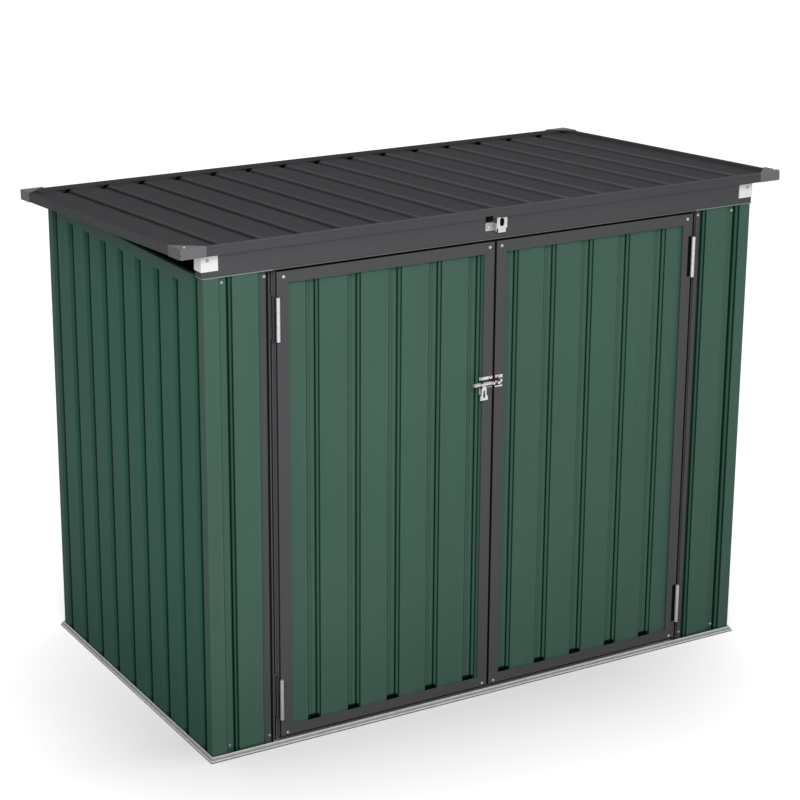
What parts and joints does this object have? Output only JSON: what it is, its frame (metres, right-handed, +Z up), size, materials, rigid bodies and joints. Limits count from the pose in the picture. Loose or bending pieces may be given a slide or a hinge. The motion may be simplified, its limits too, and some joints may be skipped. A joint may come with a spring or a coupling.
{
  "type": "metal storage shed",
  "caption": "Low metal storage shed with grooved sheet walls, a sloping hinged lid, a pair of framed front doors and a sliding door bolt.",
  "frame": {"origin": "middle of the overall box on the ground", "axes": "+X to the right seen from the front, the front faces -Y, +Z up"},
  "size_m": [1.74, 0.99, 1.31],
  "materials": {
    "green_panel": "satin green paint on grooved steel sheet",
    "grey_trim": "satin anthracite paint on folded steel",
    "lid_grey": "satin anthracite paint on grooved steel sheet",
    "galvanised": "galvanised steel",
    "zinc": "bright zinc plate",
    "white_clip": "white plastic",
    "cap_grey": "grey moulded plastic"
  },
  "bodies": {
    "shed": {"base_rail_front": "galvanised", "base_rail_right": "galvanised", "base_rail_back": "galvanised", "base_rail_left": "galvanised", "left_wall": "green_panel", "right_wall": "green_panel", "back_wall": "green_panel", "top_rail_left": "green_panel", "top_rail_right": "green_panel", "top_rail_back": "green_panel", "corner_front_left": "green_panel", "corner_front_right": "green_panel", "corner_back_left": "green_panel", "corner_back_right": "green_panel", "front_wall_left": "green_panel", "front_wall_right": "green_panel", "door_post_left": "grey_trim", "door_post_right": "grey_trim", "fascia": "grey_trim", "fascia_clips": "white_clip", "fascia_catch": "zinc", "door_hinge_posts": "zinc", "lid_hinge_posts": "zinc"},
    "left_door": {"left_door_top_rail": "grey_trim", "left_door_lock_stile": "grey_trim", "left_door_bottom_rail": "grey_trim", "left_door_hinge_stile": "grey_trim", "left_door_sheet": "green_panel", "left_door_hinges": "zinc", "left_door_bolt_plate": "zinc"},
    "right_door": {"right_door_top_rail": "grey_trim", "right_door_lock_stile": "grey_trim", "right_door_bottom_rail": "grey_trim", "right_door_hinge_stile": "grey_trim", "right_door_sheet": "green_panel", "right_door_hinges": "zinc", "right_door_bolt_keeper": "zinc"},
    "lid": {"lid_sheet": "lid_grey", "lid_rim_back": "lid_grey", "lid_rim_right": "lid_grey", "lid_rim_front": "lid_grey", "lid_rim_left": "lid_grey", "lid_corner_caps": "cap_grey", "lid_hinges": "zinc", "lid_lock_eye": "zinc"},
    "bolt": {"door_bolt": "zinc"}
  },
  "joints": [
    {"name": "left_door_hinge", "type": "hinge", "parent": "shed", "child": "left_door", "pos_m": [-0.6105, -0.471, 0.6], "axis": [0, 0, -1], "range_deg": [0, 165]},
    {"name": "right_door_hinge", "type": "hinge", "parent": "shed", "child": "right_door", "pos_m": [0.6105, -0.471, 0.6], "axis": [0, 0, 1], "range_deg": [0, 165]},
    {"name": "lid_hinge", "type": "hinge", "parent": "shed", "child": "lid", "pos_m": [0, 0.489, 1.22485], "axis": [-1, 0, 0], "range_deg": [0, 75]},
    {"name": "bolt_slide", "type": "slide", "parent": "left_door", "child": "bolt", "axis": [1, 0, 0], "range_m": [0, 0.018]}
  ]
}
